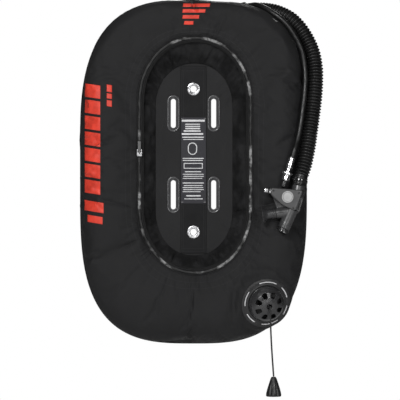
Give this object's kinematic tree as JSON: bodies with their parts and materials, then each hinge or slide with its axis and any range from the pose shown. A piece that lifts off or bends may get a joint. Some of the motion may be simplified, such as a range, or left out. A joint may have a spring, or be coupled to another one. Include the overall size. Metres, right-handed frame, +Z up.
{
  "type": "buoyancy compensator wing",
  "caption": "Donut-shaped buoyancy wing for a backplate: fabric shell with service zip, centre panel, corrugated hose with power inflator, low-pressure hose and pull dump valve.",
  "frame": {"origin": "on the centre panel's rear face, midway between the two tank-bolt eyelets", "axes": "+Z up when the diver stands, +Y out of the panel's rear face towards the tank, -Y towards the diver's back, +X to the diver's left"},
  "size_m": [0.4718, 0.187, 0.7704],
  "materials": {
    "cordura": "black coated nylon cloth, close plain weave, matt",
    "webbing": "black woven nylon tape",
    "bladder_film": "translucent grey polyurethane film",
    "zip": "dark nylon coil with a soft shine",
    "stainless": "plain stainless, satin",
    "chromed_brass": "bright chromed brass",
    "rubber": "black rubber, semi-matt",
    "nylon": "black moulded nylon, fine grain",
    "grey_nylon": "dark grey moulded nylon",
    "light_disc": "light grey printed disc, matt",
    "label": "black woven label"
  },
  "bodies": {
    "root": {"shell_front": "cordura", "shell_rear": "cordura", "inner_gusset": "cordura", "panel_front": "cordura", "panel_rear": "cordura", "zip_tape": "webbing", "seam_binding": "webbing", "centre_strap": "webbing", "hose_retainer": "webbing", "bolt_patch_upper": "webbing", "bolt_patch_lower": "webbing", "bladder": "bladder_film", "zip_coil": "zip", "eyelet_upper": "stainless", "eyelet_lower": "stainless", "eyelet_washer_upper": "stainless", "eyelet_washer_lower": "stainless", "valve_spring": "stainless", "inflate_spring": "stainless", "deflate_spring": "stainless", "lp_end_ferrule": "stainless", "first_stage_fitting": "chromed_brass", "qd_socket": "chromed_brass", "hose_ferrule": "chromed_brass", "inflator_hose": "rubber", "lp_hose": "rubber", "valve_patch": "rubber", "mouthpiece": "rubber", "band_slot_upper_left": "nylon", "band_slot_upper_right": "nylon", "band_slot_lower_left": "nylon", "band_slot_lower_right": "nylon", "valve_port": "nylon", "valve_body": "nylon", "valve_cap": "nylon", "elbow_port": "nylon", "elbow_nut": "nylon", "elbow": "nylon", "hose_tie_elbow": "nylon", "hose_tie_inflator": "nylon", "inflator_body": "nylon", "inflate_guard": "nylon", "exhaust_guard": "nylon", "exhaust_seat": "nylon", "qd_nipple": "nylon", "inflator_cover": "grey_nylon", "cover_badge": "light_disc", "label_patch": "label"},
    "valve_stem": {"valve_seal": "rubber", "valve_poppet": "nylon"},
    "pull": {"pull_cord": "nylon", "pull_knob": "rubber"},
    "inflate": {"inflate_button": "chromed_brass"},
    "deflate": {"deflate_button": "chromed_brass", "exhaust_disc": "rubber"},
    "collar": {"qd_collar": "chromed_brass"},
    "slider": {"zip_slider": "stainless"},
    "puller": {"zip_puller": "nylon"}
  },
  "joints": [
    {"name": "valve_pull", "type": "slide", "parent": "root", "child": "valve_stem", "axis": [0.2521, -0.9343, -0.2521], "range_m": [0, 0.006], "stiffness_N_per_m": 600, "springref_m": -0.004, "deforming": ["valve_spring"]},
    {"name": "cord_swing", "type": "hinge", "parent": "valve_stem", "child": "pull", "pos_m": [0.14844, -0.07343, -0.28494], "axis": [0, 1, 0], "range_deg": [-35, 35]},
    {"name": "inflate_press", "type": "slide", "parent": "root", "child": "inflate", "axis": [0.9854, 0, -0.1701], "range_m": [0, 0.0035], "stiffness_N_per_m": 900, "springref_m": -0.002, "deforming": ["inflate_spring"]},
    {"name": "deflate_press", "type": "slide", "parent": "root", "child": "deflate", "axis": [0.4108, 0, 0.9117], "range_m": [0, 0.0045], "stiffness_N_per_m": 900, "springref_m": -0.002, "deforming": ["deflate_spring"]},
    {"name": "collar_slide", "type": "slide", "parent": "root", "child": "collar", "axis": [0.2991, 0.049, 0.953], "range_m": [0, 0.0045], "stiffness_N_per_m": 1200, "springref_m": -0.002},
    {"name": "slider_slide", "type": "slide", "parent": "root", "child": "slider", "axis": [0, 0, 1], "range_m": [-0.09, 0.08]},
    {"name": "puller_hinge", "type": "hinge", "parent": "slider", "child": "puller", "pos_m": [-0.105, -0.045, 0.0165], "axis": [1, 0, 0], "range_deg": [0, 170]}
  ]
}
